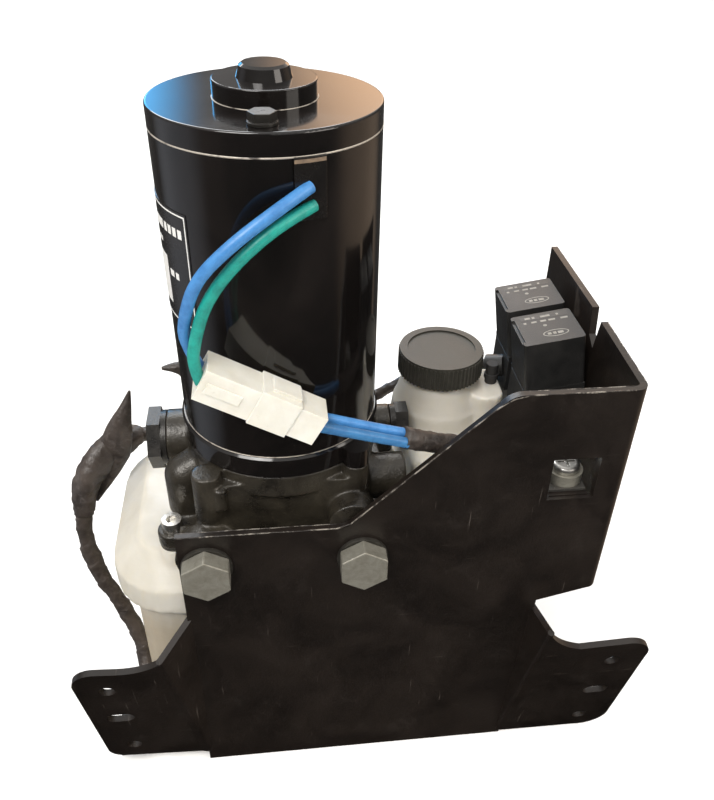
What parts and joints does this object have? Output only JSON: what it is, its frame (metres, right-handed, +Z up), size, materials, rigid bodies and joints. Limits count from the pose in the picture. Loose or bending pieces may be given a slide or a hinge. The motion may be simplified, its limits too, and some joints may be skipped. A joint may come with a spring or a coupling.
{
  "type": "hydraulic power unit",
  "caption": "Electric hydraulic power unit: upright motor over a pump and valve body in a translucent tank, on a folded steel bracket with relays and wiring.",
  "frame": {"origin": "motor axis where it meets the level the tank and the bracket's bottom edge stand on", "axes": "+Z up along the motor axis, +X along the bracket plate towards the relays, +Y from the plate towards the back of the tank"},
  "size_m": [0.268, 0.1383, 0.3204],
  "materials": {
    "black_steel": "semi-gloss black powder coat",
    "motor_paint": "gloss black",
    "zinc_bolt": "dull zinc",
    "body_casting": "black-coated casting",
    "plug_black": "black oxide",
    "bright_steel": "ground",
    "spring_steel": "drawn wire",
    "tank_plastic": "translucent natural polyethylene",
    "cap_plastic": "moulded black",
    "rubber_black": "matt",
    "gasket_fibre": "matt",
    "pump_iron": "machined",
    "strainer_plastic": "fine mesh",
    "magnet_grey": "ferrite",
    "core_steel": "stacked sheets",
    "copper": "copper",
    "brass_plain": "plain",
    "brush_carbon": "carbon",
    "phenolic": "moulded",
    "label_film": "printed film without text",
    "wire_blue": "PVC sleeve",
    "wire_green": "PVC sleeve",
    "connector_ivory": "nylon",
    "relay_black": "moulded",
    "tape_black": "wound tape",
    "zinc_sheet": "plated"
  },
  "bodies": {
    "unit": {"body_screws": "zinc_bolt", "bracket": "black_steel", "bracket_bolts": "zinc_bolt", "brush_plate": "phenolic", "check_spring_left": "spring_steel", "check_spring_right": "spring_steel", "connector_plug": "connector_ivory", "connector_socket": "connector_ivory", "gallery_plugs": "plug_black", "harness_plug": "relay_black", "lead_grommet": "rubber_black", "left_plug": "plug_black", "lock_washers": "zinc_bolt", "loom_lead_blue": "wire_blue", "loom_lead_teal": "wire_green", "magnets": "magnet_grey", "motor_base": "motor_paint", "motor_can": "motor_paint", "motor_label": "label_film", "motor_lead_blue": "wire_blue", "motor_lead_green": "wire_green", "motor_top_cap": "motor_paint", "pin_terminals": "brass_plain", "pump_body": "body_casting", "pump_end_plate": "pump_iron", "pump_housing": "pump_iron", "pump_screws": "zinc_bolt", "relay_bases": "relay_black", "relay_cases": "relay_black", "relay_sockets": "relay_black", "relay_tray": "zinc_sheet", "relief_spring": "spring_steel", "reservoir": "tank_plastic", "right_plug": "plug_black", "shaft_bushings": "brass_plain", "shaft_seal": "rubber_black", "suction_strainer": "strainer_plastic", "tank_gasket": "gasket_fibre", "taped_harness": "tape_black", "taped_loom": "tape_black", "through_bolts": "plug_black", "tray_screw": "bright_steel", "tray_spacer": "zinc_bolt", "vent_plug": "rubber_black"},
    "rotor": {"motor_shaft": "bright_steel", "armature_core": "core_steel", "windings": "copper", "commutator": "copper", "drive_coupling": "bright_steel", "drive_gear": "bright_steel"},
    "idler": {"idler_gear": "bright_steel"},
    "cap_liner": {"cap_seal": "rubber_black"},
    "cap": {"filler_cap": "cap_plastic"},
    "spool": {"shuttle_spool": "bright_steel"},
    "check_left": {"check_poppet_left": "bright_steel"},
    "check_right": {"check_poppet_right": "bright_steel"},
    "relief": {"relief_poppet": "bright_steel"},
    "brush_l": {"brush_left": "brush_carbon"},
    "brush_r": {"brush_right": "brush_carbon"},
    "relay_arms": {"relay_armatures": "bright_steel"}
  },
  "joints": [
    {"name": "rotor_spin", "type": "hinge", "parent": "unit", "child": "rotor", "pos_m": [0, 0, 0.24], "axis": [0, 0, 1], "continuous": true},
    {"name": "idler_spin", "type": "hinge", "parent": "unit", "child": "idler", "pos_m": [0.02, 0, 0.119], "axis": [0, 0, 1], "continuous": true},
    {"name": "cap_lift", "type": "slide", "parent": "unit", "child": "cap_liner", "axis": [0, 0, 1], "range_m": [0, 0.00875]},
    {"name": "cap_turn", "type": "hinge", "parent": "cap_liner", "child": "cap", "pos_m": [0.0738, 0.0238, 0.188], "axis": [0, 0, 1], "range_deg": [0, 900]},
    {"name": "spool_slide", "type": "slide", "parent": "unit", "child": "spool", "axis": [1, 0, 0], "range_m": [-0.003, 0.003]},
    {"name": "check_left_lift", "type": "slide", "parent": "unit", "child": "check_left", "axis": [-1, 0, 0], "range_m": [0, 0.0015], "stiffness_N_per_m": 1500, "springref_m": -0.003, "deforming": ["check_spring_left"]},
    {"name": "check_right_lift", "type": "slide", "parent": "unit", "child": "check_right", "axis": [1, 0, 0], "range_m": [0, 0.0015], "stiffness_N_per_m": 900, "springref_m": -0.003, "deforming": ["check_spring_right"]},
    {"name": "relief_lift", "type": "slide", "parent": "unit", "child": "relief", "axis": [1, 0, 0], "range_m": [0, 0.001], "stiffness_N_per_m": 6000, "springref_m": -0.004, "deforming": ["relief_spring"]},
    {"name": "brush_left_slide", "type": "slide", "parent": "unit", "child": "brush_l", "axis": [-1, 0, 0], "range_m": [0, 0.004], "stiffness_N_per_m": 250, "springref_m": -0.01},
    {"name": "brush_right_slide", "type": "slide", "parent": "unit", "child": "brush_r", "axis": [1, 0, 0], "range_m": [0, 0.004], "stiffness_N_per_m": 250, "springref_m": -0.01},
    {"name": "relay_arms_tilt", "type": "hinge", "parent": "unit", "child": "relay_arms", "pos_m": [0.11078, 0.0243, 0.20425], "axis": [0, 1, 0], "range_deg": [0, 3], "stiffness_Nm_per_rad": 0.05, "springref_deg": -5.73}
  ],
  "couplings": [
    {"joint": "idler_spin", "follows": "rotor_spin", "ratio": -1},
    {"joint": "cap_turn", "follows": "cap_lift", "rad_per_m": 1795.2}
  ]
}
